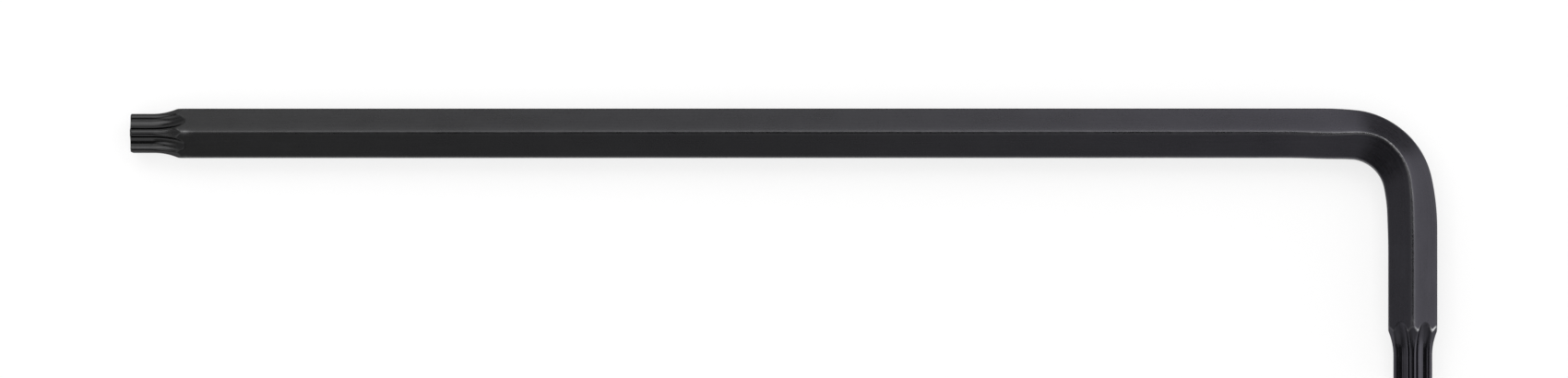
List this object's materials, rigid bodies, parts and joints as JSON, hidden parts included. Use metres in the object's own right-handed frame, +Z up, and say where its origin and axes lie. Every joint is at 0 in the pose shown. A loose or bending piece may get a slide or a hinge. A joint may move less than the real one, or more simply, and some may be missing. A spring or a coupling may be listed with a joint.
{
  "type": "star key",
  "caption": "L-shaped key bent from blackened hexagonal steel bar, with a lobed star tip on its long and its short arm for driving star-socket screws.",
  "frame": {"origin": "middle of the key's outline seen from above, on the table under its lowest corner edge", "axes": "+X along the long arm from its tip to the bend, +Y from the short arm's tip to the long arm, +Z up, square to the plane of the L"},
  "size_m": [0.134, 0.028, 0.0057],
  "materials": {
    "blackened_steel": "oiled black oxide, satin, with a fine drawing grain along the bar and bare metal rubbed through at the tips' edges"
  },
  "bodies": {
    "root": {"long_star_tip": "blackened_steel", "long_arm": "blackened_steel", "bend": "blackened_steel", "short_arm": "blackened_steel", "short_star_tip": "blackened_steel"}
  },
  "joints": []
}
